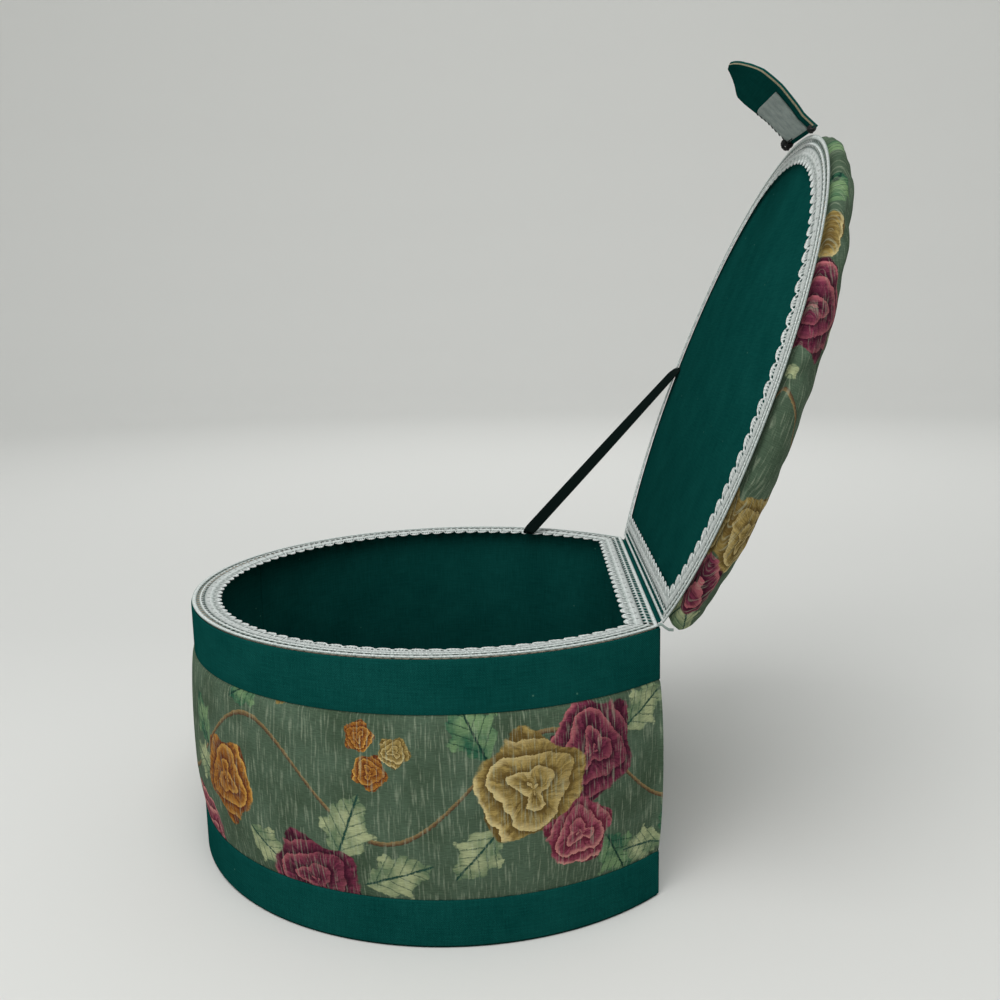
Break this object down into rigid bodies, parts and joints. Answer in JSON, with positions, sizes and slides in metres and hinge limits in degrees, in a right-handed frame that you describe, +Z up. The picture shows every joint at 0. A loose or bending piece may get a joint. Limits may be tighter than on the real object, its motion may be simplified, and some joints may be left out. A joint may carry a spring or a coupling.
{
  "type": "keepsake box",
  "caption": "Round cloth-covered card box with one flat side, padded floral wall and lid, lace-edged rim, hinged lid and fastening tab.",
  "frame": {"origin": "centre of the round outline, on the underside of the base", "axes": "+X along the lid's hinge, +Y to the flat hinge side, +Z up; the lid stands open at rest"},
  "size_m": [0.2364, 0.2799, 0.3282],
  "materials": {
    "board": "uncoated grey-brown board",
    "wadding": "soft wadding",
    "lining_card": "dark book cloth",
    "green_cloth": "matt plain-weave cotton",
    "floral_cloth": "printed slubby cloth, padded",
    "lace": "white cotton lace",
    "ribbon": "satin ribbon",
    "hook_tape": "grey nylon hooks",
    "loop_tape": "dark nylon loops",
    "thread": "dark sewing thread"
  },
  "bodies": {
    "box": {"base_cover": "lining_card", "base_board": "board", "wall_board": "board", "wall_padding": "wadding", "floral_panel": "floral_cloth", "lower_band": "green_cloth", "upper_band": "green_cloth", "wall_lining": "green_cloth", "floor_card": "board", "floor_cloth": "green_cloth", "rim_lace": "lace", "loop_patch": "loop_tape", "hinge_cloth": "green_cloth", "stay_ribbon": "ribbon"},
    "lid": {"lid_board": "board", "lid_padding": "wadding", "lid_cover": "floral_cloth", "lid_lining_card": "board", "lid_lining_cloth": "green_cloth", "lid_lace": "lace"},
    "tab": {"tab_facing": "green_cloth", "tab_backing": "green_cloth", "hook_patch": "hook_tape", "tab_stitches": "thread"}
  },
  "joints": [
    {"name": "lid_hinge", "type": "hinge", "parent": "box", "child": "lid", "pos_m": [0, 0.0836, 0.1112], "axis": [1, 0, 0], "range_deg": [0, 110], "deforming": ["hinge_cloth", "stay_ribbon"]},
    {"name": "tab_hinge", "type": "hinge", "parent": "lid", "child": "tab", "pos_m": [0, 0.15327, 0.30102], "axis": [1, 0, 0], "range_deg": [-90, 18]}
  ]
}
